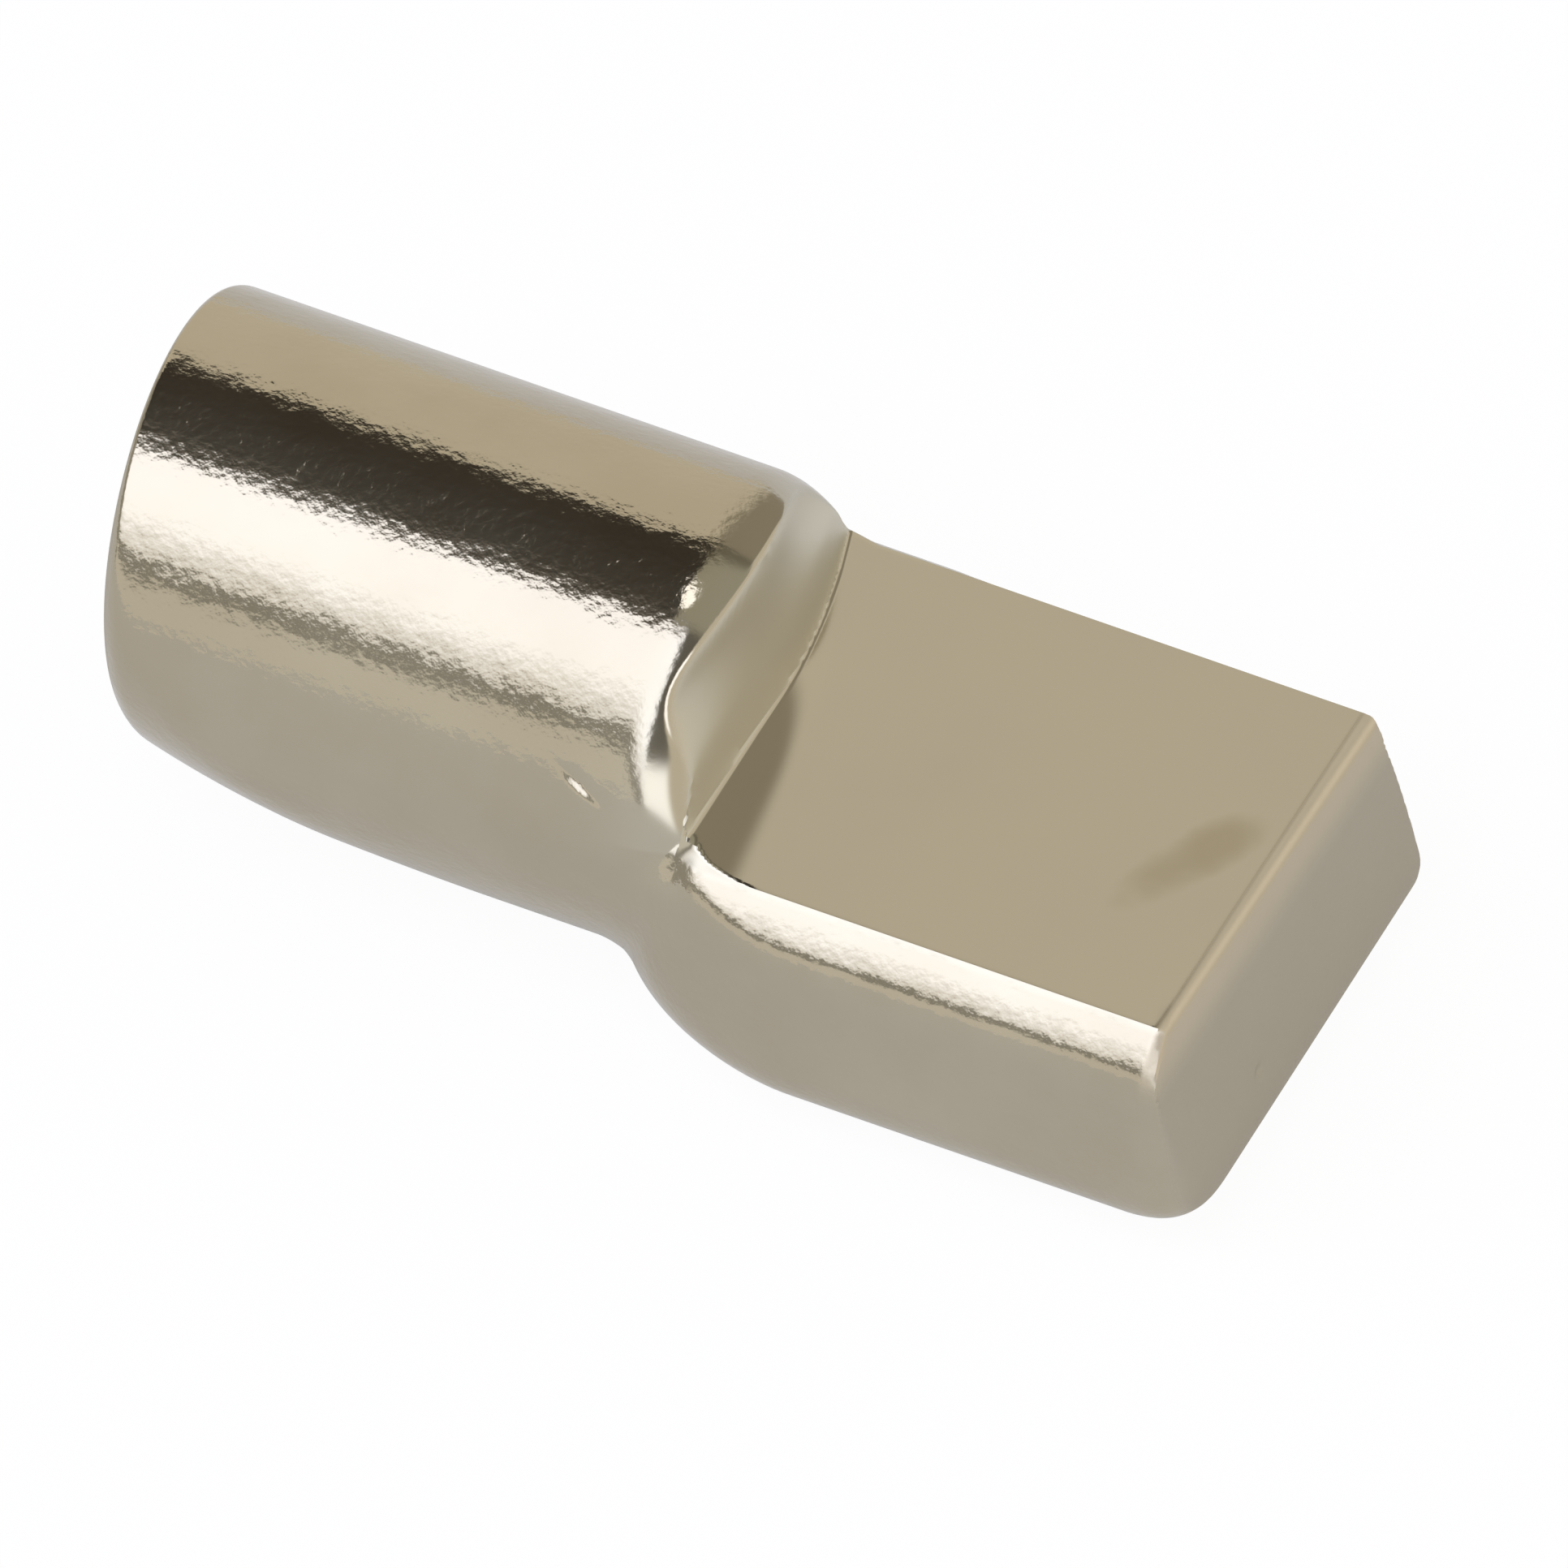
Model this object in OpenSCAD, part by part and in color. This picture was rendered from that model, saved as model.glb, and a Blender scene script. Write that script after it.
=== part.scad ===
// Shelf support pin, cold pressed from one cropped piece of round steel rod.
// The origin lies on the rod's axis, where the pin ends and the shoulder begins.
// +X runs from the pin to the pressed seat, and +Z is up.

/* [Pin] */
// Diameter of the rod, which is the pin that goes into the cabinet's hole
pin_d = 6.35; // [4.5:0.05:10]
// Length of the pin along its axis, from the cropped tip to where the shoulder begins
pin_len = 7.1; // [5:0.1:14]
// Lean of the cropped tip in side view, with its top further out
tip_lean = 3.5; // [0:0.5:10]
// Skew of the cropped tip in plan
tip_skew = 4.5; // [0:0.5:10]
// Depth of the roll-over that the crop leaves under the tip
tip_drop = 0.7; // [0.3:0.05:0.9]
// Height by which the roll-over passes over the top of the tip
tip_over = 0.2; // [0.05:0.05:0.3]
// Slope of the roll-over where it reaches the tip
roll_slope = 16; // [10:0.5:20]
// Slope of the roll-over where it leaves the round pin
roll_start = 7; // [5:0.5:9]
// Radius of the roll-over between those two slopes
roll_r = 18; // [10:0.5:25]
// Rounding of the edge round the tip
tip_edge_r = 0.45; // [0.2:0.05:0.8]

/* [Shoulder] */
// Length of the shoulder along the axis, from the end of the pin to its foot on the seat
shoulder_len = 1.36; // [1.2:0.02:2.5]
// Slope of the shoulder's face away from upright
shoulder_slope = 18; // [8:0.5:22]
// Rounding of the shoulder's top edge
shoulder_top_r = 0.8; // [0.3:0.05:1]
// Rounding of the shoulder's foot, where the seat begins
shoulder_foot_r = 0.8; // [0.2:0.05:1.2]
// Rounding with which the rod necks in towards the shoulder
neck_round = 1.4; // [1:0.1:2.5]
// Depth of the neck
neck_depth = 0.35; // [0.1:0.05:0.5]

/* [Seat] */
// Height of the flat seat above the rod's axis
seat_h = 0.58; // [0.2:0.02:0.9]
// Length of the seat from the shoulder's foot to the end's top edge
seat_len = 6.94; // [5:0.05:14]
// Width of the seat
seat_w = 6.15; // [5:0.05:6.6]
// Lean of the cropped end in side view, with its bottom further out
end_lean = 11; // [0:0.5:15]
// Rounding of the end's top edge
end_top_r = 0.45; // [0.2:0.05:0.8]
// Rounding of the end's bottom edge
end_bottom_r = 1.2; // [0.8:0.1:1.8]

/* [Pressed blade] */
// Bulge of each free side beyond the rod
blade_bulge = 0.5; // [0.3:0.05:1]
// Drop of the flat underside below the rod
blade_drop = 0.08; // [0.05:0.01:0.3]
// Length over which the rod flares into the blade
flare_len = 2; // [1.5:0.1:3.5]
// Fullness of the flare, where 1 is a straight flare
flare_power = 1.7; // [1.2:0.1:2.5]
// Place of the waist on the axis, where the blade leaves the rod
waist_x = 1.1; // [0.8:0.05:1.4]
// Lean of the waist, with its top nearer the seat
waist_lean = 19; // [0:1:25]
// Depth of the blade's widest line below the axis
blade_belly = 1.15; // [0.8:0.05:1.5]
// Squareness of the blade's section, where 2 is an ellipse
blade_power = 4; // [2.4:0.1:5]

/* [Hidden] */

$fn = 96;
nickel = [0.70, 0.66, 0.57];
pin_r = pin_d / 2;
// Anything further than this is clear of the whole pin
clear = 4 * pin_d;
// Each rounding meets its two faces at this small angle
meet = 4;
// The waste at an edge starts outside its corner by this share of the rounding
waste_over = 0.25;

end_x = shoulder_len + seat_len;

// The blade's section is a superellipse round its widest line.
// Its upper half is as high as gives the seat its width.
blade_half_w = pin_r + blade_bulge;
blade_bottom = -pin_r - blade_drop;
blade_lower_h = -blade_belly - blade_bottom;
seat_share = pow(seat_w / 2 / blade_half_w, blade_power);
blade_upper_h = (seat_h + blade_belly) / pow(1 - seat_share, 1 / blade_power);

// Rings of the flare, as shares of its length, from inside the rod to the full section
flare_steps = [-0.45, -0.2, 0.06, 0.18, 0.3, 0.42, 0.54, 0.66, 0.78, 0.9, 1];
ring_sides = 72;
// Rate at which the rings inside the rod shrink away from its surface
root_taper = 0.5;

// Point of the full blade section at an angle round its widest line
function rounded(v) = sign(v) * pow(abs(v), 2 / blade_power);
function blade_point(a) = [
    blade_half_w * rounded(cos(a)),
    (sin(a) > 0 ? blade_upper_h : blade_lower_h) * rounded(sin(a)) - blade_belly
];

// Point of the waist: the rod itself below its axis, and lower than the rod above it
waist_top = blade_upper_h - blade_belly;
function waist_point(a) = [
    pin_r * (sin(a) > 0 ? rounded(cos(a)) : cos(a)),
    sin(a) > 0 ? waist_top * rounded(sin(a)) : pin_r * sin(a)
];

// Growth of the flare, which is 0 at the waist and 1 at the full section
function flare(s) = 1 - pow(1 - s, flare_power);

// Point of a ring: it shrinks inside the rod, and past the waist it turns into the blade
function ring_point(s, a) =
    s < 0
        ? waist_point(a) * (1 + root_taper * s)
        : waist_point(a) + (blade_point(a) - waist_point(a)) * flare(s);

function ring(s) = [
    for (i = [0 : ring_sides - 1])
        let (p = ring_point(min(s, 1), 360 * (i + 0.5) / ring_sides),
             lean = (1 - min(max(s, 0), 1)) * tan(waist_lean) * p[1])
        [waist_x + s * flare_len + lean, p[0], p[1]]
];

// Pressed blade: rings of its section, lofted from inside the rod to past the end
module blade() {
    past_end = (end_x + pin_r - waist_x) / flare_len;
    steps = concat(flare_steps, [past_end]);
    n = ring_sides;
    rings = len(steps);
    points = [for (s = steps) each ring(s)];
    walls = [
        for (k = [0 : rings - 2], i = [0 : n - 1])
            let (j = (i + 1) % n)
            each [
                [k * n + i, (k + 1) * n + i, (k + 1) * n + j],
                [k * n + i, (k + 1) * n + j, k * n + j]
            ]
    ];
    first_cap = [for (i = [0 : n - 1]) i];
    last_cap = [for (i = [n - 1 : -1 : 0]) (rings - 1) * n + i];
    polyhedron(points = points, faces = concat(walls, [first_cap, last_cap]));
}

// Tip form: a leaning barrel end with a rounded rim, which leaves the roll-over under the tip
module tip_form() {
    rim_r = pin_r + (tip_over - tip_drop) / 2;
    tilt = acos(cos(tip_lean) * cos(tip_skew));
    rim_slope = tilt + roll_slope;
    far_slope = tilt + roll_start;
    arc_mid = [rim_r - roll_r * cos(rim_slope), roll_r * sin(rim_slope)];
    arc_slope = far_slope - meet / 2;
    arc_end = arc_mid + roll_r * [cos(arc_slope), -sin(arc_slope)];
    cone_foot = arc_end - roll_r * sin(meet / 2) * [sin(far_slope), cos(far_slope)];
    translate([0, 0, (tip_over + tip_drop) / 2])
        rotate([0, 90 - tip_lean, 0])
            rotate_extrude()
                difference() {
                    union() {
                        intersection() {
                            translate(arc_mid)
                                circle(roll_r);
                            square([clear, arc_mid[1]]);
                        }
                        polygon([
                            [0, cone_foot[1]],
                            cone_foot,
                            cone_foot + clear * [tan(far_slope), 1],
                            [0, cone_foot[1] + clear]
                        ]);
                    }
                    edge_round([rim_r, 0], tip_edge_r, 90 - rim_slope, 180);
                }
}

// Half of the rod's section along its axis: the pin, and the neck that runs under the shoulder
module rod_profile() {
    translate([0, -pin_len - pin_r])
        square([pin_r, pin_len + pin_r]);
    intersection() {
        translate([pin_r - neck_round, 0])
            circle(neck_round);
        square(pin_r);
    }
    square([pin_r - neck_depth, shoulder_len + shoulder_foot_r]);
}

// Rod with its cropped tip
module rod() {
    intersection() {
        rotate([0, 90, 0])
            rotate_extrude()
                rod_profile();
        translate([-pin_len, 0, 0])
            rotate([0, 0, tip_skew])
                tip_form();
    }
}

// Corner waste outside a rounding between two edges that leave the corner at angles a and b
module edge_round(corner, r, a, b) {
    half = (b - a) / 2 + meet;
    middle = (a + b) / 2;
    reach = r / tan(half);
    along_a = corner + reach * [cos(a - meet), sin(a - meet)];
    along_b = corner + reach * [cos(b + meet), sin(b + meet)];
    inward = [cos(middle), sin(middle)];
    centre = corner + r / sin(half) * inward;
    difference() {
        polygon([corner - waste_over * r * inward, along_a, centre, along_b]);
        translate(centre)
            circle(r);
    }
}

// Places a side view, drawn in X and Z, across the whole width
module across() {
    rotate([90, 0, 0])
        linear_extrude(2 * clear, center = true)
            children();
}

// Punch that presses the seat and the shoulder, with the shoulder's two roundings
module punch() {
    top = [shoulder_len - (pin_r - seat_h) * tan(shoulder_slope), pin_r];
    foot = [shoulder_len, seat_h];
    across() {
        difference() {
            polygon([top, foot, [clear, seat_h], [clear, clear], [top[0], clear]]);
            edge_round(foot, shoulder_foot_r, 0, 90 + shoulder_slope);
        }
        edge_round(top, shoulder_top_r, 180, 270 + shoulder_slope);
    }
}

// Waste past the cropped end, with its rounded top and bottom edges
module end_waste() {
    top = [end_x, seat_h];
    bottom = [end_x + (seat_h - blade_bottom) * tan(end_lean), blade_bottom];
    across() {
        polygon([
            top + clear * [-sin(end_lean), cos(end_lean)],
            bottom + clear * [sin(end_lean), -cos(end_lean)],
            [2 * clear, -clear],
            [2 * clear, clear]
        ]);
        edge_round(top, end_top_r, 180, 270 + end_lean);
        edge_round(bottom, end_bottom_r, 90 + end_lean, 180);
    }
}

module shelf_pin() {
    color(nickel)
        difference() {
            union() {
                rod();
                blade();
            }
            punch();
            end_waste();
        }
}

shelf_pin();
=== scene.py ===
"""Shelf support pin: a nickel-plated steel pin, cropped and pressed from one piece of round rod."""
import math

import bpy
import numpy as np
from mathutils import Matrix, Vector


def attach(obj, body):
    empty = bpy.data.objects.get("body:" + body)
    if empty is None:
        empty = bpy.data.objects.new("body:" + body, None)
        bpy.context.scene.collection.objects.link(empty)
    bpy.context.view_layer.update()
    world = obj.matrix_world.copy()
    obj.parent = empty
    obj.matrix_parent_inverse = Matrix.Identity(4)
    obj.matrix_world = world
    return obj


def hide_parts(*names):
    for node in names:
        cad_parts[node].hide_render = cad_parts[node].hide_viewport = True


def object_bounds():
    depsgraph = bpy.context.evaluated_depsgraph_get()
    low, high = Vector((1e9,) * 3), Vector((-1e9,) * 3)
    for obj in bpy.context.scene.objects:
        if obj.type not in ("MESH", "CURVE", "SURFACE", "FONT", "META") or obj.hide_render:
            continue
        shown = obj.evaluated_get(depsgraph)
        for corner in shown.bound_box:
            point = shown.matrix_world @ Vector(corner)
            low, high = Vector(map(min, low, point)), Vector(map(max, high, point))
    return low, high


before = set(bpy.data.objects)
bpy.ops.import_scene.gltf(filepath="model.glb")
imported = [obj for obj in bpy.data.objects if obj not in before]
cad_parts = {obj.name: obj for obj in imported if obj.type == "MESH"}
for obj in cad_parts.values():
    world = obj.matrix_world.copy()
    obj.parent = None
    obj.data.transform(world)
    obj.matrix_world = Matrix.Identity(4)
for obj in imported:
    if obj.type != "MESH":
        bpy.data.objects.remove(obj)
cad_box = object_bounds()

# Sizes below are in millimetres unless a comment says otherwise, and angles are in radians.
# The near side faces the camera, at -Y, and the far side is at +Y.
# A pair of values is the range over which a form comes in, and a slant is a direction.
MM = 0.001

# Round pin and its cropped tip, whose top leans outward
PIN_R = 3.175
PIN_LEN = 7.1
TIP_LEAN = math.radians(3.5)
TIP_SKEW = math.radians(4.5)
TIP_EDGE_R = 0.45

# Roll-over that the crop leaves under the tip
TIP_DROP = 0.7
TIP_OVER = 0.2
ROLL_SLOPE = math.radians(15)
ROLL_START = math.radians(3)
ROLL_R = 16.0
ROLL_BLEND = 0.06
# The roll-over's arc is followed this far ahead of the tip
ROLL_AHEAD = -1

# Neck: it begins later towards the near side, and it turns in tighter towards both sides
NECK_FROM = 0.2
NECK_LATER = 0.18
NECK_END = 1.35
NECK_ROUND = 2.6
NECK_TIGHTER = 1.3
NECK_NEAR_FROM = 0.4
NECK_NEAR_SPAN = 1.6
NECK_FAR = (0.6, 2.2)
# The neck is shallower by a share just above the axis, at an angle from the top
NECK_SIDE_AT = math.radians(86)
NECK_SIDE_SPREAD = math.radians(20)
NECK_SIDE_SHALLOWER = 0.6

# Shoulder's face: its slope from upright, its edges, its skew, and its curve in plan near the top
SHOULDER_LEN = 1.37
SHOULDER_SLOPE = math.radians(6)
SHOULDER_TOP_R = 0.07
SHOULDER_FOOT_R = 0.06
SHOULDER_SKEW = 0.02
SHOULDER_PLAN_R = 4.5
# Lower down, the face is set back on the far side by this much at this place across
SHOULDER_FAR_BACK = 0.4
SHOULDER_FAR_Y = 3.0
# Heights over which the lower form turns into the upper one, and the seat's edge into the top edge
SHOULDER_TURNS = (1.4, 2.6)
SHOULDER_EDGE_TURNS = (0.7, 2.4)

# Ramp of the seat at the foot of the shoulder, on the near side
RAMP_LEN = 0.63
RAMP_RISE = 0.17
RAMP_WIDENS = 0.17
RAMP_WIDENS_OVER = (-3.2, 1)
RAMP_FADES = (-1.3, 1.5)
RAMP_LONGEST = 1.1

# Flat seat
SEAT_H = 0.58
SEAT_LEN = 6.99
SEAT_W = 6.15
SEAT_EDGE_R = 0.001
# The seat's edge is softer by the shoulder
CORNER_R = 0.02
CORNER_X = (1.5, 2.4)
CORNER_Z = (0.8, 1.4)

# Cropped end, with its bottom further out: END_SKEW turns it in plan, and END_TWIST changes its lean across
END_LEAN = math.radians(10)
END_SKEW = 0.0117
END_TWIST = 0.006
END_TOP_R = 0.14
END_SIDE_R = 0.05
END_BELOW_SEAT = 0.1
END_TOP_FADES = (-0.1, 0.5)
# The near edge of the end is rounder low down
END_NEAR_R = 0.6
END_NEAR_Y = (0.0, 3.0)
END_NEAR_Z = (0.0, 2.0)
# The bottom edge's rounding is kept clear of the underside away from the end
END_BOTTOM_R = 1.2
END_BOTTOM_FROM = 1.2
END_BOTTOM_FULL = 0.2
END_BOTTOM_CLEAR = 0.7

# Pressed blade: its bulge beyond the rod, its drop below the rod, and its widest line below the axis
BLADE_BULGE = 0.495
BLADE_DROP = 0.078
BLADE_BELLY = 1.15
UNDERSIDE_R = 0.02
# Squareness of its section, where 2 is an ellipse:
# BLADE_POWER is that of the lower half, and the upper half grows square a little later
ELLIPSE = 2
BLADE_POWER = 4.0
UPPER_POWER_LATE = 1.15

# Flare of the blade out of the rod, from a leaning waist
FLARE_LEN = 2.0
FLARE_POWER = 1.7
WAIST_X = 1.1
WAIST_LEAN = math.radians(19)
WAIST_ROUND = 0.25
WAIST_POWER = 2.2
WAIST_TOP = 0.95
LEAN_TOP = 1.0
NEAR_TOP_LEAN = 0.15
NEAR_TOP_Y = (1.5, 2.8)
# On the far side, at the level of the seat, the flare begins earlier and is shorter
FAR_WAIST_BACK = 1.3
FAR_FLARE_SHORTER = 0.8
FAR_FLARE_Y = (0.5, 3.0)
FAR_FLARE_Z = (-0.5, 0.3)
# Inside the rod the blade tapers, as shares of the flare, and then stops
ROOT_TAPER = 0.5
ROOT_FROM = -0.8
ROOT_R = 0.1

# The near side of the blade bulges in one large radius below the seat's edge
NEAR_POWER = 8.0
NEAR_UPPER_H = 2.5
NEAR_R = 2.1
NEAR_START = math.radians(33)
NEAR_SIDE_R = 0.12
# Field value of a place that lies well inside, and a value that keeps powers off zero
DEEP_INSIDE = -1.0
TINY = 1e-6

# The far side falls straight from the seat's edge, past the shoulder
FAR_POWER = 2.5
FAR_HALF_SEAT = 3.02
FAR_LEAN = 0.16
FAR_SIDE_R = 0.5
FAR_SIDE_X = (1.0, 3.0)
FAR_SIDE_CLEAR = 0.5
FAR_ROUND_BELOW = (0.1, 0.6)

BLADE_HALF_W = PIN_R + BLADE_BULGE
UNDERSIDE = -PIN_R - BLADE_DROP
BLADE_LOWER_H = PIN_R + BLADE_DROP - BLADE_BELLY
FAR_SHARE = (FAR_HALF_SEAT / BLADE_HALF_W) ** FAR_POWER
FAR_UPPER_H = (SEAT_H + BLADE_BELLY) / (1 - FAR_SHARE) ** (1 / FAR_POWER)
END_X = SHOULDER_LEN + SEAT_LEN

# Small dent on the pin, at an angle from its top, running at a slant
DENT_AT = math.radians(68)
DENT_DEPTH = 0.045
DENT_LEN = 0.30
DENT_WIDTH = 0.08
DENT_SLANT = (0.87, 0.49)
# Small pit in the cropped end
PIT_Y = -1.28
PIT_Z = -1.70
PIT_R = 0.09
PIT_DEPTH = 0.05

# The skin is found along rays from a spine, which sinks below the axis under the seat
SPINE_FROM = -6.0
SPINE_TO = 7.3
SPINE_DROP = 1.3
SPINE_SINKS = (-3.0, 2.0)
LONGEST_RAY = 7.0
HALVINGS = 34
# Rays round the part, closer together at the seat's two edges
RING_COUNT = 256
EDGE_CROWD = 5.0
EDGE_CROWD_SPREAD = 0.05
ANGLE_SAMPLES = 4001
SHARP_ANGLE = math.radians(25)
# Rays from the spine's ends pass through a box, this far ahead and this far out at the tip and at the end
TIP_AHEAD = -1.15
TIP_OUT = 3.1
END_AHEAD = 1.75
END_OUT = 3.25
# Stops of the rays, each with the steps up to the next stop
TIP_FACE_STOPS = [(0.02, 16), (2.4, 16), (3.05, 1), (3.1, 0)]
TIP_WALL_STOPS = [(-1.12, 10), (-0.75, 8), (0, 0)]
SPINE_STOPS = [(SPINE_FROM, 56), (-0.45, 22), (0.3, 64), (1.9, 16), (2.6, 42), (SPINE_TO, 0)]
END_WALL_STOPS = [(0, 10), (0.9, 26), (END_AHEAD, 0)]
END_FACE_STOPS = [(3.2, 10), (2.6, 34), (0.02, 0)]

# Colours of the plate, with painted light on the shoulder's face and a painted highlight on the end's lip
PLATE_DARK = (0.51, 0.455, 0.345)
PLATE_PALE = (0.54, 0.490, 0.380)
PLATE_STAIN = (0.43, 0.38, 0.27)
PLATE_SEAT = (0.57, 0.53, 0.425)
PLATE_GREY = (0.52, 0.48, 0.39)
PLATE_WORN = (0.64, 0.565, 0.43)
# Painted highlight on the lip of the end's top edge
PLATE_LIP_HIGHLIGHT = (0.86, 0.78, 0.62)
# Painted light on the shoulder's face
PLATE_FACE_PAINTED_LIGHT = (0.78, 0.75, 0.64)
SEAT_STRENGTH = 0.8
GREY_STRENGTH = 0.6
# Soft clouds in the plate, as noise per metre
CLOUD_SCALE = 420
CLOUD_DETAIL = 4
CLOUD_SHARE = (0.3, 0.7)
# Places of the pressed surfaces, and how far a face must turn along the axis to be satin
PRESSED_X = (0.3, 1.0)
PRESSED_Z = (0.50, 0.57)
SATIN_TURN = (0.55, 0.93)
# Stain on the seat: its middle, its slant, its half length and half width, and its ragged edge
STAIN_X = 7.27
STAIN_Y = -0.36
STAIN_SLANT = (0.46, 0.89)
STAIN_LEN = 1.3
STAIN_WIDTH = 0.42
STAIN_RAGGED = 4.0
STAIN_FADES = (0.2, 1.5)
STAIN_STRENGTH = 0.8
# Painted light: the shoulder's face is painted paler up to these places, and less so near its top
FACE_LIGHT_X = (2.0, 2.5)
FACE_LIGHT_TOP = (1.5, 2.6)
FACE_LIGHT_TOP_FADE = 0.35
# Worn top edge of the cropped end, and the painted highlight on its lip
WORN_X = (8.12, 8.24)
WORN_Z = (-0.3, 0.35)
LIP_HIGHLIGHT_X = (8.15, 8.23)
# Roughness of the plate, and how much rougher the satin and worn places are
ROUGH_RANGE = (0.09, 0.15)
ROUGH_SATIN = 0.38
# Fine orange peel on the free surfaces: two noises per metre, and their depth in metres
PEEL_SCALE = 9000
PEEL_DETAIL = 2
WAVE_SCALE = 2600
WAVE_DETAIL = 1
WAVE_STRENGTH = 1.5
PEEL_MIDDLE = 1.25
PEEL_DEPTH = 0.0000068

# Floor: its half width in metres, its colour, and its glow as the camera and as mirrors see it
FLOOR_REACH = 0.6
FLOOR_GREY = (0.8, 0.8, 0.8)
FLOOR_GLOW = 1.03
FLOOR_SEEN = 0.92
FLOOR_MIRRORED = 0.26

# Brightness of the studio: the room behind, the front below the softbox, and the left wall
ROOM = (0.79, 0.735, 0.64)
FRONT = (0.86, 0.84, 0.80)
LEFT = (0.45, 0.43, 0.40)
CEILING = (0.05, 0.043, 0.036)
CEILING_FRONT = (0.085, 0.08, 0.073)
CEILING_GREY = (0.46, 0.44, 0.37)
UNDER_SOFTBOX = (0.36, 0.35, 0.33)
GAP_LIGHT = (1.7, 1.75, 1.9)
# The studio's bands by angle from straight up, in degrees, towards the front
STUDIO_BANDS = [
    (-180, ROOM),
    (-38.0, ROOM),
    (-35.8, CEILING),
    (0, CEILING_FRONT),
    (9, (0.17, 0.16, 0.15)),
    (13, (1.95, 2.02, 2.4)),
    (42, (1.9, 1.98, 2.3)),
    (59, (1.15, 1.15, 1.22)),
    (63, UNDER_SOFTBOX),
    (68, UNDER_SOFTBOX),
    (73, FRONT),
    (180, FRONT),
]
# The same at the right, where the softbox ends
GAP_BANDS = [
    (-180, ROOM),
    (-38.0, ROOM),
    (-35.8, (0.14, 0.13, 0.12)),
    (62, (0.20, 0.19, 0.18)),
    (70, (0.25, 0.24, 0.22)),
    (76, GAP_LIGHT),
    (180, GAP_LIGHT),
]
# The softbox's lower edge falls to the right: from this place, between these angles, by this many degrees
FALL_FROM = -0.15
FALL_ANGLES = (30, 60)
FALL_DEGREES = 80
# Ranges across the studio, from -1 at the left to 1 at the right
GAP_SIDE = (0.16, 0.26)
GREY_SIDE = (-0.15, -0.04)
RIGHT_WALL = (0.55, 0.66)
LEFT_WALL = (0.74, 0.86)
# Angles at which the grey part of the ceiling begins and ends
GREY_BEGINS = (-37, -35)
GREY_ENDS = (5, 11)
# A dark strip stands at the back, between these two sides
FLAG_LEFT = (-0.20, -0.08)
FLAG_RIGHT = (0.26, 0.36)
FLAG_BACK = (0.45, 0.55)
FLAG_SHADE = (0.47, 0.455, 0.42)
# Small panels, one overhead and one at the right: direction, the angles over which it fades, brightness
PANELS = [
    ((-0.06, 0.12, 0.99), (math.radians(4), math.radians(7)), (2.2, 2.2, 2.4)),
    ((0.70, -0.38, 0.60), (math.radians(7), math.radians(10)), (2.0, 2.0, 2.2)),
]

# The view of the photograph, without perspective: its angles, its width and the place of its middle
VIEW_AZIMUTH = math.radians(25.5)
VIEW_ELEVATION = math.radians(46.6)
VIEW_WIDTH = 19.948
VIEW_RIGHT = 1.311
VIEW_UP = -1.084
# The camera's distance and clipping, in metres
VIEW_DISTANCE = 0.2
CLIP_START = 0.001
CLIP_END = 10


def both(a, b, r):
    """Intersection of two fields, with its edge rounded by r."""
    over = np.hypot(np.maximum(a + r, 0), np.maximum(b + r, 0))
    return np.minimum(np.maximum(a, b), -r) + over


def either(a, b, r):
    """Union of two fields, with its crease filled by a rounding of r."""
    under = np.hypot(np.maximum(r - a, 0), np.maximum(r - b, 0))
    return np.maximum(np.minimum(a, b), r) - under


def ease(low, high, v):
    """Smooth step from 0 at low to 1 at high."""
    t = np.clip((v - low) / (high - low), 0, 1)
    return t * t * (3 - 2 * t)


def tip_field(x, y, z):
    """Cropped tip: a leaning barrel end with a rounded rim, which leaves the roll-over under it."""
    axis = np.array([
        math.cos(TIP_LEAN) * math.cos(TIP_SKEW),
        math.cos(TIP_LEAN) * math.sin(TIP_SKEW),
        math.sin(TIP_LEAN),
    ])
    px = x + PIN_LEN
    pz = z - (TIP_OVER + TIP_DROP) / 2
    along = px * axis[0] + y * axis[1] + pz * axis[2]
    out = np.sqrt(np.maximum(px ** 2 + y ** 2 + pz ** 2 - along ** 2, 0))
    tilt = math.acos(math.cos(TIP_LEAN) * math.cos(TIP_SKEW))
    rim_slope = tilt + ROLL_SLOPE
    far_slope = tilt + ROLL_START
    rim_r = PIN_R + (TIP_OVER - TIP_DROP) / 2
    arc_out = rim_r - ROLL_R * math.cos(rim_slope)
    arc_along = ROLL_R * math.sin(rim_slope)
    arc_end = arc_along - ROLL_R * math.sin(far_slope)
    from_middle = np.clip(along, ROLL_AHEAD, arc_end) - arc_along
    on_arc = arc_out + np.sqrt(np.maximum(ROLL_R ** 2 - from_middle ** 2, 0))
    wall = out - on_arc - np.maximum(along - arc_end, 0) * math.tan(far_slope)
    return both(wall, -along, TIP_EDGE_R)


def rod_field(x, y, z):
    """Round rod with its neck and its cropped tip."""
    to_near = np.clip((NECK_NEAR_FROM - y) / NECK_NEAR_SPAN, 0, 1)
    to_far = ease(*NECK_FAR, y)
    neck_round = NECK_ROUND - NECK_TIGHTER * np.maximum(to_near, to_far)
    reach = np.clip(np.minimum(x, NECK_END) - NECK_FROM - NECK_LATER * to_near, 0, None)
    depth = neck_round - np.sqrt(neck_round ** 2 - reach ** 2)
    sideways = np.abs(np.arctan2(np.abs(y), z) - NECK_SIDE_AT) / NECK_SIDE_SPREAD
    radius = PIN_R - depth * (1 - NECK_SIDE_SHALLOWER * np.exp(-sideways ** 2))
    rod = np.hypot(y, z) - radius
    return both(rod, tip_field(x, y, z), ROLL_BLEND)


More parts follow.
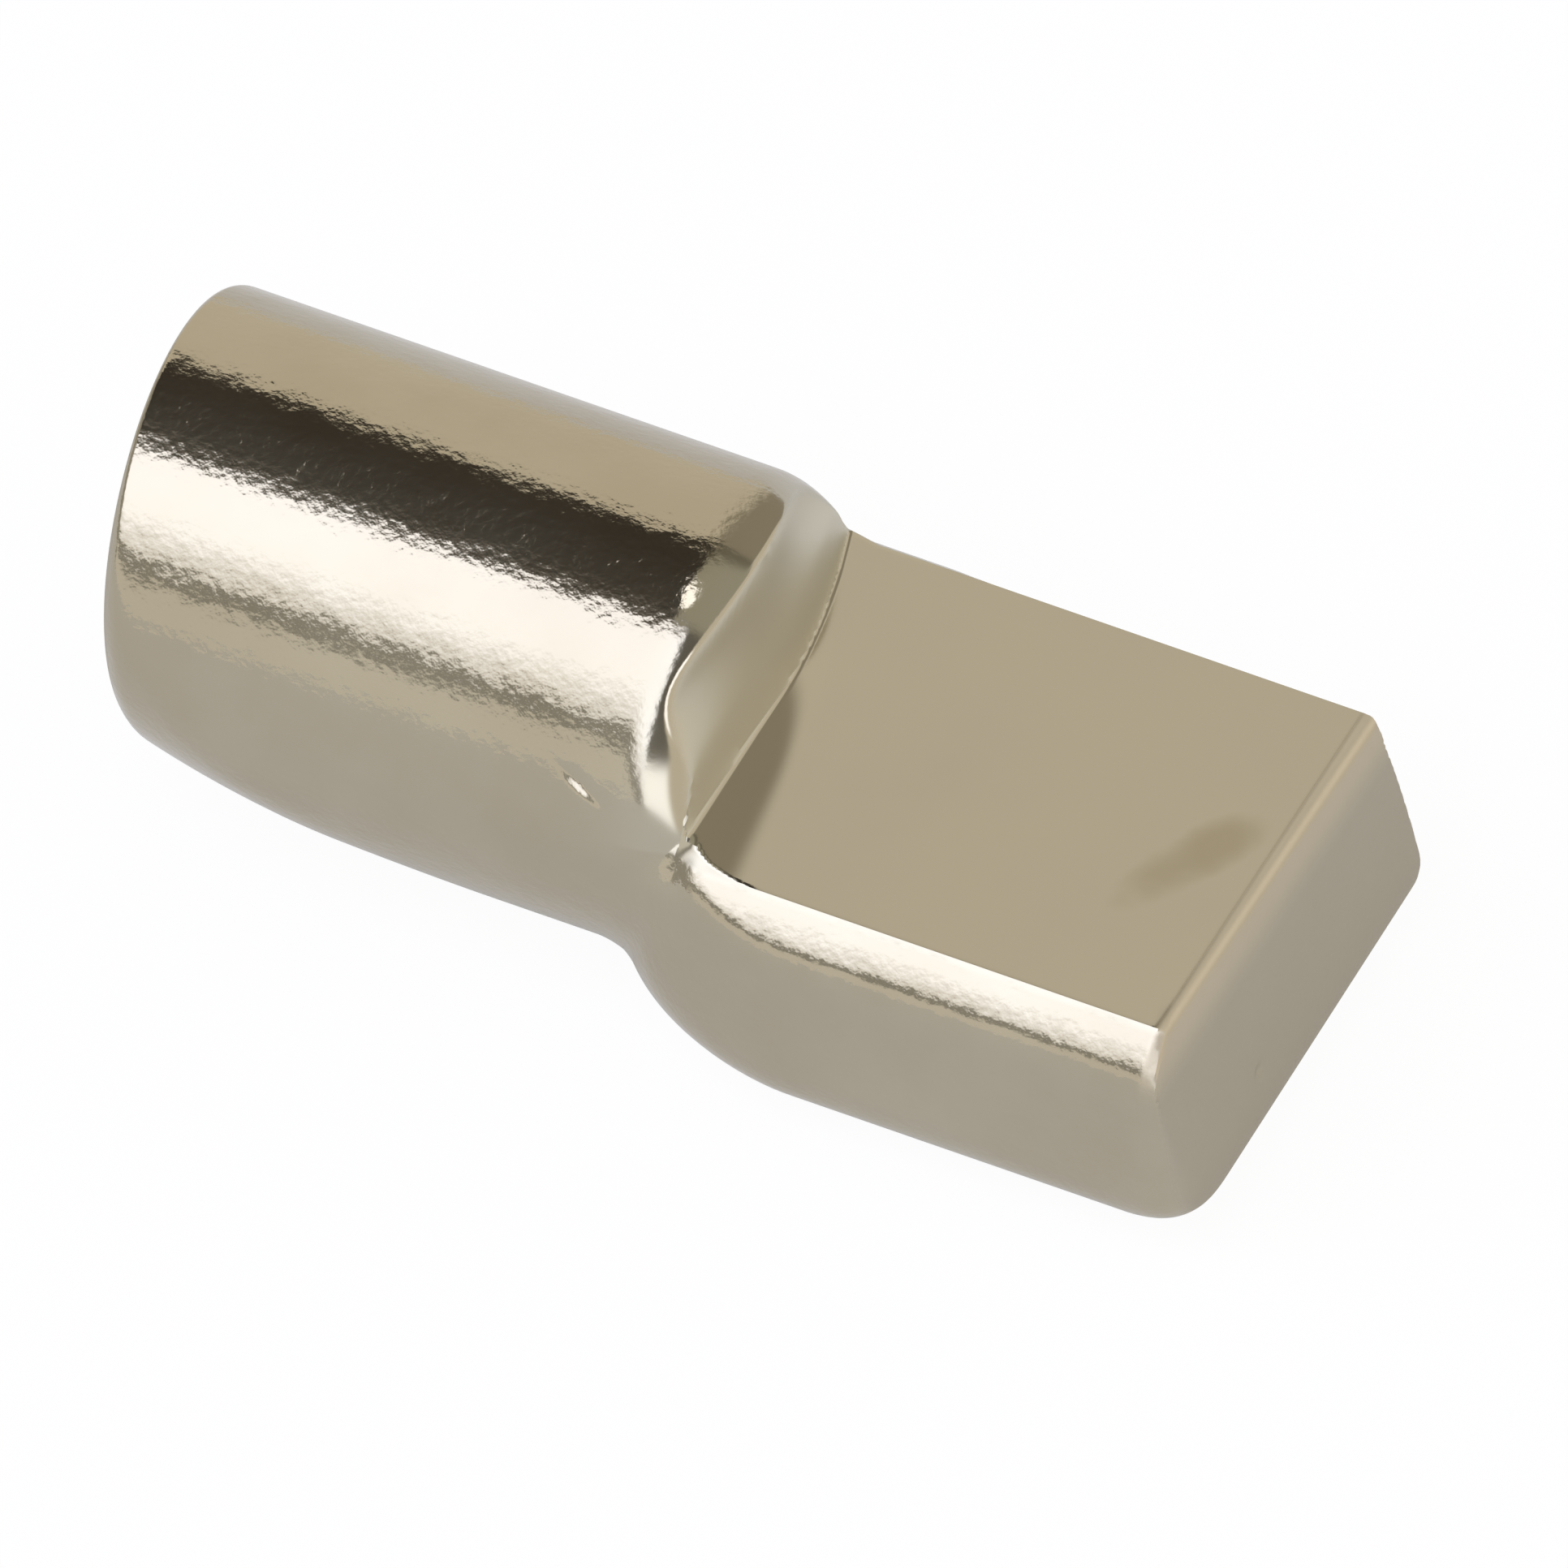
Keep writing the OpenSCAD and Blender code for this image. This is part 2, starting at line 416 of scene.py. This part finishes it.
def blade_field(x, y, z):
    """Pressed blade, which flares out of the rod at a leaning waist."""
    lean = math.tan(WAIST_LEAN) * np.clip(z, -PIN_R, LEAN_TOP)
    lean = lean + NEAR_TOP_LEAN * np.clip(z, 0, LEAN_TOP) * ease(*NEAR_TOP_Y, -y)
    far_share = ease(*FAR_FLARE_Y, y) * ease(*FAR_FLARE_Z, z)
    flare_len = FLARE_LEN - FAR_FLARE_SHORTER * far_share
    s = (x - WAIST_X + FAR_WAIST_BACK * far_share - lean) / (flare_len - lean)
    root = 1 + ROOT_TAPER * np.clip(s, ROOT_FROM, 0)
    # The section grows from the waist's to the blade's
    growth = 1 - (1 - np.clip(s, 0, 1)) ** FLARE_POWER
    half_w = (PIN_R + BLADE_BULGE * growth) * root
    middle = -BLADE_BELLY * growth
    near = y < 0
    lower_h = (PIN_R + (BLADE_LOWER_H - PIN_R) * growth) * root
    full_upper_h = np.where(near, NEAR_UPPER_H, FAR_UPPER_H)
    upper_h = (WAIST_TOP + (full_upper_h - WAIST_TOP) * growth) * root
    upper = z > middle
    height = np.where(upper, upper_h, lower_h)
    full_power = np.where(near, NEAR_POWER, FAR_POWER)
    upper_power = WAIST_POWER + (full_power - WAIST_POWER) * growth ** UPPER_POWER_LATE
    power = np.where(upper, upper_power, ELLIPSE + (BLADE_POWER - ELLIPSE) * growth)
    # A superellipse of that section, turned into a distance
    across = np.abs(y) / half_w + TINY
    rise = np.abs(z - middle) / height + TINY
    rho = (across ** power + rise ** power) ** (1 / power)
    slope_y = (across / rho) ** (power - 1) / half_w
    slope_z = (rise / rho) ** (power - 1) / height
    blade = (rho - 1) / np.hypot(slope_y, slope_z)
    round_y = SEAT_W / 2 - NEAR_R * math.sin(NEAR_START)
    round_z = SEAT_H - NEAR_R * math.cos(NEAR_START)
    bulge = np.hypot(np.maximum(-y - round_y, 0), z - round_z) - NEAR_R
    bulge = np.where(near & (z > round_z), bulge, DEEP_INSIDE)
    blade = both(blade, bulge, NEAR_SIDE_R)
    # The far side leans out a little below the seat's edge
    beyond = y - FAR_HALF_SEAT - FAR_LEAN * (SEAT_H - z)
    beyond = beyond - FAR_SIDE_CLEAR * (1 - ease(*FAR_SIDE_X, x))
    blade = both(blade, beyond, FAR_SIDE_R * ease(*FAR_ROUND_BELOW, SEAT_H - z))
    return both(blade, (ROOT_FROM - s) * FLARE_LEN, ROOT_R)


def punch_field(x, y, z):
    """Punch that presses the seat and the shoulder's face."""
    over_seat = z - SEAT_H
    high = ease(*SHOULDER_TURNS, z)
    low_recess = SHOULDER_FAR_BACK * (np.maximum(y, 0) / SHOULDER_FAR_Y) ** 2
    recess = y ** 2 / (2 * SHOULDER_PLAN_R) * high + low_recess * (1 - high) + SHOULDER_SKEW * y
    face_x = x - SHOULDER_LEN + recess
    past_face = face_x * math.cos(SHOULDER_SLOPE) + over_seat * math.sin(SHOULDER_SLOPE)
    # The seat ramps up a little towards the near corner of the shoulder
    ramp_len = RAMP_LEN - RAMP_WIDENS * np.clip(y, *RAMP_WIDENS_OVER)
    from_foot = x - SHOULDER_LEN + low_recess + SHOULDER_SKEW * y
    on_ramp = np.clip(ramp_len - from_foot, 0, RAMP_LONGEST * ramp_len)
    ramp = RAMP_RISE * (1 - ease(*RAMP_FADES, y)) * on_ramp ** 2 / ramp_len
    return both(ramp - over_seat, -past_face, SHOULDER_FOOT_R)


def mark_depths(x, y, z):
    """Depth of the small dent on the near side of the pin, and of the pit in the cropped end."""
    round_pin = PIN_R * (np.arctan2(-y, z) - DENT_AT)
    run = DENT_SLANT[0] * x + DENT_SLANT[1] * round_pin
    cross = -DENT_SLANT[1] * x + DENT_SLANT[0] * round_pin
    dent = DENT_DEPTH * np.exp(-(run / DENT_LEN) ** 2 - (cross / DENT_WIDTH) ** 2) * (y < 0)
    pit = np.exp(-((y - PIT_Y) ** 2 + (z - PIT_Z) ** 2) / PIT_R ** 2) * (x > END_X)
    return dent, PIT_DEPTH * pit


def field(x, y, z):
    """Negative inside the part."""
    body = either(rod_field(x, y, z), blade_field(x, y, z), WAIST_ROUND)
    body = both(body, UNDERSIDE - z, UNDERSIDE_R)
    edge_r = SEAT_EDGE_R + (SHOULDER_TOP_R - SEAT_EDGE_R) * ease(*SHOULDER_EDGE_TURNS, z)
    edge_r = edge_r + CORNER_R * (1 - ease(*CORNER_X, x)) * (1 - ease(*CORNER_Z, z))
    body = both(body, -punch_field(x, y, z), edge_r)
    end_x = END_X + END_SKEW * y
    end_slope = math.tan(END_LEAN) - END_TWIST * y
    past_end = (x - end_x + (z - SEAT_H) * end_slope) * math.cos(END_LEAN)
    at_end = ease(END_X - END_BOTTOM_FROM, END_X - END_BOTTOM_FULL, x)
    under_end = UNDERSIDE - z - END_BOTTOM_CLEAR * (1 - at_end)
    end_profile = both(past_end, under_end, END_BOTTOM_R)
    near_low = ease(*END_NEAR_Y, -y) * ease(*END_NEAR_Z, -z)
    low = ease(*END_TOP_FADES, SEAT_H - END_BELOW_SEAT - z)
    end_r = END_TOP_R * (1 - low) + END_SIDE_R * low + END_NEAR_R * near_low
    body = both(body, end_profile, end_r)
    dent, pit = mark_depths(x, y, z)
    return body + dent + pit


def spread(stops):
    """Values that run through the stops, each given as (value, steps up to the next one)."""
    values = []
    for (start, steps), (end, _) in zip(stops, stops[1:]):
        values.extend(np.linspace(start, end, steps, endpoint=False))
    values.append(stops[-1][0])
    return np.array(values)


def ring_angles(count):
    """Angles round the part, closer together at the two edges of the seat, with one on each edge."""
    fine = np.linspace(0, 2 * math.pi, ANGLE_SAMPLES)
    dense = np.ones_like(fine)
    rise = SEAT_H + SPINE_DROP
    edges = (math.atan2(rise, FAR_HALF_SEAT), math.pi - math.atan2(rise, SEAT_W / 2))
    for middle in edges:
        dense += EDGE_CROWD * np.exp(-((fine - middle) / EDGE_CROWD_SPREAD) ** 2)
    total = np.concatenate([[0], np.cumsum((dense[1:] + dense[:-1]) / 2)])
    angles = np.interp(np.arange(count) / count * total[-1], total, fine)
    for middle in edges:
        angles[np.argmin(np.abs(angles - middle))] = middle
    return angles


def ring_rows():
    """Rings of rays from the tip to the end: their place on the spine, and their way along and out."""
    rows = []
    for out in spread(TIP_FACE_STOPS):
        rows.append((SPINE_FROM, TIP_AHEAD, out))
    for along in spread(TIP_WALL_STOPS)[:-1]:
        rows.append((SPINE_FROM, along, TIP_OUT))
    for x in spread(SPINE_STOPS):
        rows.append((x, 0, 1))
    for along in spread(END_WALL_STOPS)[1:]:
        rows.append((SPINE_TO, along, END_OUT))
    for out in spread(END_FACE_STOPS):
        rows.append((SPINE_TO, END_AHEAD, out))
    return np.array(rows)


def skin_points(rows, around):
    """Points of the skin, found along each ray by halving."""
    middle_x = rows[:, 0][:, None]
    middle_z = -SPINE_DROP * ease(*SPINE_SINKS, middle_x)
    toward = np.stack(np.broadcast_arrays(
        rows[:, 1][:, None],
        rows[:, 2][:, None] * np.cos(around),
        rows[:, 2][:, None] * np.sin(around),
    ), axis=-1)
    toward = toward / np.linalg.norm(toward, axis=-1, keepdims=True)
    near = np.zeros(toward.shape[:2])
    far = np.full(toward.shape[:2], LONGEST_RAY)
    for _ in range(HALVINGS):
        reach = (near + far) / 2
        inside = field(
            middle_x + reach * toward[..., 0],
            reach * toward[..., 1],
            middle_z + reach * toward[..., 2],
        ) < 0
        near = np.where(inside, reach, near)
        far = np.where(inside, far, reach)
    return np.stack([
        middle_x + near * toward[..., 0],
        near * toward[..., 1],
        middle_z + near * toward[..., 2],
    ], axis=-1)


def build_mesh():
    """Closed skin of the part, as rings of four-sided faces with a cap at the tip and at the end."""
    rows = ring_rows()
    vertices = skin_points(rows, ring_angles(RING_COUNT)).reshape(-1, 3)
    count = RING_COUNT
    last = len(rows) - 1
    faces = []
    for k in range(last):
        for i in range(count):
            j = (i + 1) % count
            faces.append((k * count + i, k * count + j, (k + 1) * count + j, (k + 1) * count + i))
    faces.append(tuple(reversed(range(count))))
    faces.append(tuple(last * count + i for i in range(count)))
    mesh = bpy.data.meshes.new("shelf_pin_skin")
    mesh.from_pydata((vertices * MM).tolist(), [], faces)
    mesh.polygons.foreach_set("use_smooth", [True] * len(mesh.polygons))
    mesh.update()
    mesh.set_sharp_from_angle(angle=SHARP_ANGLE)
    return mesh


def node(tree, kind, **settings):
    """New shader node with its settings."""
    made = tree.nodes.new(kind)
    for name, value in settings.items():
        setattr(made, name, value)
    return made


def math_node(tree, operation, first, second=None):
    """Math node whose inputs are numbers or sockets."""
    made = node(tree, "ShaderNodeMath", operation=operation)
    for index, value in enumerate((first, second)):
        if value is None:
            continue
        if isinstance(value, (int, float)):
            made.inputs[index].default_value = value
        else:
            tree.links.new(value, made.inputs[index])
    return made.outputs[0]


def plus(tree, first, second):
    """Sum of two numbers or sockets."""
    return math_node(tree, "ADD", first, second)


def minus(tree, first, second):
    """Difference of two numbers or sockets."""
    return math_node(tree, "SUBTRACT", first, second)


def times(tree, first, second):
    """Product of two numbers or sockets."""
    return math_node(tree, "MULTIPLY", first, second)


def smooth_share(tree, value, low, high):
    """Share that rises smoothly from 0 at low to 1 at high."""
    made = node(tree, "ShaderNodeMapRange", interpolation_type="SMOOTHSTEP")
    made.inputs["From Min"].default_value = low
    made.inputs["From Max"].default_value = high
    tree.links.new(value, made.inputs["Value"])
    return made.outputs["Result"]


def place_share(tree, value, limits):
    """Share that rises smoothly between two places in millimetres."""
    return smooth_share(tree, value, limits[0] * MM, limits[1] * MM)


def mix_colour(tree, share, first, second, blend="MIX"):
    """Mix of two colours, each a colour or a socket."""
    made = node(tree, "ShaderNodeMix", data_type="RGBA", blend_type=blend)
    tree.links.new(share, made.inputs["Factor"])
    inputs = [socket for socket in made.inputs if socket.type == "RGBA"]
    for socket, value in zip(inputs, (first, second)):
        if isinstance(value, tuple):
            socket.default_value = (*value, 1)
        else:
            tree.links.new(value, socket)
    return next(socket for socket in made.outputs if socket.type == "RGBA")


def noise(tree, place, scale, detail):
    """Noise of the object's own space."""
    made = node(tree, "ShaderNodeTexNoise")
    made.inputs["Scale"].default_value = scale
    made.inputs["Detail"].default_value = detail
    tree.links.new(place, made.inputs["Vector"])
    return made.outputs["Fac"]


def stain_share(tree, x, y, over_seat, clouds):
    """Share of the faint brown stain that lies across the seat near its end."""
    shift_x = minus(tree, x, STAIN_X * MM)
    shift_y = minus(tree, y, STAIN_Y * MM)
    run = plus(tree, times(tree, shift_x, STAIN_SLANT[0]), times(tree, shift_y, STAIN_SLANT[1]))
    cross = minus(tree, times(tree, shift_x, STAIN_SLANT[1]), times(tree, shift_y, STAIN_SLANT[0]))
    run = math_node(tree, "DIVIDE", run, STAIN_LEN * MM)
    cross = math_node(tree, "DIVIDE", cross, STAIN_WIDTH * MM)
    radius = plus(tree, times(tree, run, run), times(tree, cross, cross))
    # The clouds make its edge ragged
    bent = minus(tree, clouds, 0.5)
    radius = plus(tree, radius, times(tree, bent, STAIN_RAGGED))
    stain = minus(tree, 1.0, smooth_share(tree, radius, *STAIN_FADES))
    return times(tree, times(tree, stain, over_seat), STAIN_STRENGTH)


def nickel_material():
    """Bright nickel plate: a fine peel on the free surfaces, a smooth seat and satin sheared faces."""
    material = bpy.data.materials.new("nickel_plate")
    material.use_nodes = True
    tree = material.node_tree
    shader = tree.nodes["Principled BSDF"]
    coords = node(tree, "ShaderNodeTexCoord")
    place = coords.outputs["Object"]
    spot = node(tree, "ShaderNodeSeparateXYZ")
    tree.links.new(place, spot.inputs[0])
    x = spot.outputs["X"]
    y = spot.outputs["Y"]
    z = spot.outputs["Z"]
    facing = node(tree, "ShaderNodeSeparateXYZ")
    tree.links.new(coords.outputs["Normal"], facing.inputs[0])
    shader.inputs["Metallic"].default_value = 1.0

    # The punch leaves the seat and the shoulder's face smooth
    over_seat = place_share(tree, z, PRESSED_Z)
    pressed = times(tree, place_share(tree, x, PRESSED_X), over_seat)
    free = minus(tree, 1.0, pressed)
    # Faces along the axis are satin: the shoulder's face, the cropped end and the tip
    along = math_node(tree, "ABSOLUTE", facing.outputs["X"])
    satin = smooth_share(tree, along, *SATIN_TURN)

    # Plate colour, a little browner in soft clouds
    clouds = noise(tree, place, CLOUD_SCALE, CLOUD_DETAIL)
    cloud_share = smooth_share(tree, clouds, *CLOUD_SHARE)
    colour = mix_colour(tree, cloud_share, PLATE_DARK, PLATE_PALE)
    # The pressed seat is paler
    colour = mix_colour(tree, times(tree, pressed, SEAT_STRENGTH), colour, PLATE_SEAT)
    stain = stain_share(tree, x, y, over_seat, clouds)
    colour = mix_colour(tree, stain, colour, PLATE_STAIN)
    # The sheared faces are greyer
    colour = mix_colour(tree, times(tree, satin, GREY_STRENGTH), colour, PLATE_GREY)
    # Painted light: the shoulder's face is painted paler
    face_light = minus(tree, 1.0, place_share(tree, x, FACE_LIGHT_X))
    face_light = times(tree, times(tree, face_light, satin), pressed)
    fade = times(tree, place_share(tree, z, FACE_LIGHT_TOP), FACE_LIGHT_TOP_FADE)
    face_light = times(tree, face_light, minus(tree, 1.0, fade))
    colour = mix_colour(tree, face_light, colour, PLATE_FACE_PAINTED_LIGHT)
    # The end's top edge is worn paler and duller, and its lip is painted palest, as a painted highlight
    worn = times(tree, place_share(tree, x, WORN_X), place_share(tree, z, WORN_Z))
    colour = mix_colour(tree, worn, colour, PLATE_WORN)
    lip_highlight = times(tree, place_share(tree, x, LIP_HIGHLIGHT_X), over_seat)
    colour = mix_colour(tree, lip_highlight, colour, PLATE_LIP_HIGHLIGHT)
    tree.links.new(colour, shader.inputs["Base Color"])

    rough = node(tree, "ShaderNodeMapRange")
    rough.inputs["To Min"].default_value = ROUGH_RANGE[0]
    rough.inputs["To Max"].default_value = ROUGH_RANGE[1]
    tree.links.new(clouds, rough.inputs["Value"])
    added = times(tree, math_node(tree, "MAXIMUM", satin, worn), ROUGH_SATIN)
    tree.links.new(plus(tree, rough.outputs["Result"], added), shader.inputs["Roughness"])

    peel = noise(tree, place, PEEL_SCALE, PEEL_DETAIL)
    waves = noise(tree, place, WAVE_SCALE, WAVE_DETAIL)
    height = plus(tree, peel, times(tree, waves, WAVE_STRENGTH))
    height = times(tree, minus(tree, height, PEEL_MIDDLE), free)
    bump = node(tree, "ShaderNodeBump")
    bump.inputs["Strength"].default_value = 1.0
    bump.inputs["Distance"].default_value = PEEL_DEPTH
    tree.links.new(height, bump.inputs["Height"])
    tree.links.new(bump.outputs["Normal"], shader.inputs["Normal"])
    return material


def floor_material():
    """Pale floor that shows white and keeps the part's shadow."""
    material = bpy.data.materials.new("floor_white")
    material.use_nodes = True
    tree = material.node_tree
    tree.nodes.clear()
    output = node(tree, "ShaderNodeOutputMaterial")
    matte = node(tree, "ShaderNodeBsdfDiffuse")
    matte.inputs["Color"].default_value = (*FLOOR_GREY, 1)
    glow = node(tree, "ShaderNodeEmission")
    glow.inputs["Color"].default_value = (1, 1, 1, 1)
    glow.inputs["Strength"].default_value = FLOOR_GLOW
    path = node(tree, "ShaderNodeLightPath")
    glossy = path.outputs["Is Glossy Ray"]
    through = path.outputs["Is Transmission Ray"]
    mirrored = math_node(tree, "MAXIMUM", glossy, through)
    mirrored = times(tree, mirrored, FLOOR_MIRRORED)
    direct = times(tree, path.outputs["Is Camera Ray"], FLOOR_SEEN)
    share = math_node(tree, "MAXIMUM", direct, mirrored)
    mix = node(tree, "ShaderNodeMixShader")
    tree.links.new(share, mix.inputs["Fac"])
    tree.links.new(matte.outputs["BSDF"], mix.inputs[1])
    tree.links.new(glow.outputs["Emission"], mix.inputs[2])
    tree.links.new(mix.outputs["Shader"], output.inputs["Surface"])
    return material


def turn_at(degrees):
    """Share of a full turn for an angle from -180 to 180 degrees."""
    return degrees / 360 + 0.5


def turn_share(tree, turn, angles):
    """Share that rises smoothly between two angles in degrees."""
    return smooth_share(tree, turn, turn_at(angles[0]), turn_at(angles[1]))


def colour_ramp(tree, share, bands):
    """Ramp over an angle, as (degrees, colour) pairs from -180 to 180."""
    ramp = node(tree, "ShaderNodeValToRGB")
    elements = ramp.color_ramp.elements
    while len(elements) < len(bands):
        elements.new(0.5)
    for element, (degrees, colour) in zip(elements, bands):
        element.position = turn_at(degrees)
        element.color = (*colour, 1)
    tree.links.new(share, ramp.inputs["Fac"])
    return ramp.outputs["Color"]


def panel_share(tree, direction, middle, edge):
    """Share of a round panel: 1 inside the first angle of its edge, and 0 outside the second."""
    made = node(tree, "ShaderNodeVectorMath", operation="DOT_PRODUCT")
    tree.links.new(direction, made.inputs[0])
    made.inputs[1].default_value = Vector(middle).normalized()
    return smooth_share(tree, made.outputs["Value"], math.cos(edge[1]), math.cos(edge[0]))


def build_world():
    """Studio: a pale room, a softbox above the front, a dark ceiling behind it and two small panels."""
    world = bpy.data.worlds.new("studio")
    bpy.context.scene.world = world
    world.use_nodes = True
    tree = world.node_tree
    background = tree.nodes["Background"]
    direction = node(tree, "ShaderNodeTexCoord").outputs["Generated"]
    split = node(tree, "ShaderNodeSeparateXYZ")
    tree.links.new(direction, split.inputs[0])
    side = split.outputs["X"]
    # Angle from straight up towards the front, as a share of a full turn
    front = times(tree, split.outputs["Y"], -1.0)
    angle = math_node(tree, "ARCTAN2", front, split.outputs["Z"])
    turn = plus(tree, math_node(tree, "DIVIDE", angle, 2 * math.pi), 0.5)
    # The softbox's lower edge falls towards the right
    right_share = math_node(tree, "MAXIMUM", minus(tree, side, FALL_FROM), 0.0)
    low_share = turn_share(tree, turn, FALL_ANGLES)
    fall = times(tree, times(tree, right_share, low_share), FALL_DEGREES / 360)
    middle = colour_ramp(tree, minus(tree, turn, fall), STUDIO_BANDS)
    gap = colour_ramp(tree, turn, GAP_BANDS)
    colour = mix_colour(tree, smooth_share(tree, side, *GAP_SIDE), middle, gap)
    # The dark ceiling turns grey towards the right
    above = minus(tree, turn_share(tree, turn, GREY_BEGINS), turn_share(tree, turn, GREY_ENDS))
    above = times(tree, above, smooth_share(tree, side, *GREY_SIDE))
    colour = mix_colour(tree, above, colour, CEILING_GREY)
    # The walls at the right and at the left
    colour = mix_colour(tree, smooth_share(tree, side, *RIGHT_WALL), colour, ROOM)
    away = times(tree, side, -1.0)
    colour = mix_colour(tree, smooth_share(tree, away, *LEFT_WALL), colour, LEFT)
    # The dark strip at the back
    past_left = smooth_share(tree, side, *FLAG_LEFT)
    past_right = smooth_share(tree, side, *FLAG_RIGHT)
    behind = smooth_share(tree, split.outputs["Y"], *FLAG_BACK)
    flag = times(tree, minus(tree, past_left, past_right), behind)
    colour = mix_colour(tree, flag, colour, FLAG_SHADE, "MULTIPLY")
    for panel, edge, bright in PANELS:
        share = panel_share(tree, direction, panel, edge)
        colour = mix_colour(tree, share, colour, bright)
    tree.links.new(colour, background.inputs["Color"])
    background.inputs["Strength"].default_value = 1.0


def build_camera():
    """Level camera without perspective, at the photograph's angle and frame."""
    data = bpy.data.cameras.new("camera")
    data.type = "ORTHO"
    data.ortho_scale = VIEW_WIDTH * MM
    data.clip_start = CLIP_START
    data.clip_end = CLIP_END
    camera = bpy.data.objects.new("camera", data)
    bpy.context.collection.objects.link(camera)
    back = Vector((
        math.sin(VIEW_AZIMUTH) * math.cos(VIEW_ELEVATION),
        -math.cos(VIEW_AZIMUTH) * math.cos(VIEW_ELEVATION),
        math.sin(VIEW_ELEVATION),
    ))
    right = Vector((math.cos(VIEW_AZIMUTH), math.sin(VIEW_AZIMUTH), 0))
    up = back.cross(right)
    place = (right * VIEW_RIGHT + up * VIEW_UP) * MM + back * VIEW_DISTANCE
    turn = Matrix((right, up, back)).transposed().to_4x4()
    camera.matrix_world = Matrix.Translation(place) @ turn
    bpy.context.scene.camera = camera


def build_floor():
    """Flat floor under the part."""
    low = cad_box[0][2]
    corners = [
        (-FLOOR_REACH, -FLOOR_REACH, low),
        (FLOOR_REACH, -FLOOR_REACH, low),
        (FLOOR_REACH, FLOOR_REACH, low),
        (-FLOOR_REACH, FLOOR_REACH, low),
    ]
    mesh = bpy.data.meshes.new("floor")
    mesh.from_pydata(corners, [], [(0, 1, 2, 3)])
    floor = bpy.data.objects.new("floor", mesh)
    bpy.context.collection.objects.link(floor)
    floor.data.materials.append(floor_material())


def build_pin():
    """The whole part, which is one piece."""
    pin = bpy.data.objects.new("shelf_pin_body", build_mesh())
    bpy.context.collection.objects.link(pin)
    pin.data.materials.append(nickel_material())
    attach(pin, "root")
    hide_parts("shelf_pin")


def main():
    bpy.context.scene.view_settings.view_transform = "Standard"
    build_camera()
    build_world()
    build_pin()
    build_floor()


main()
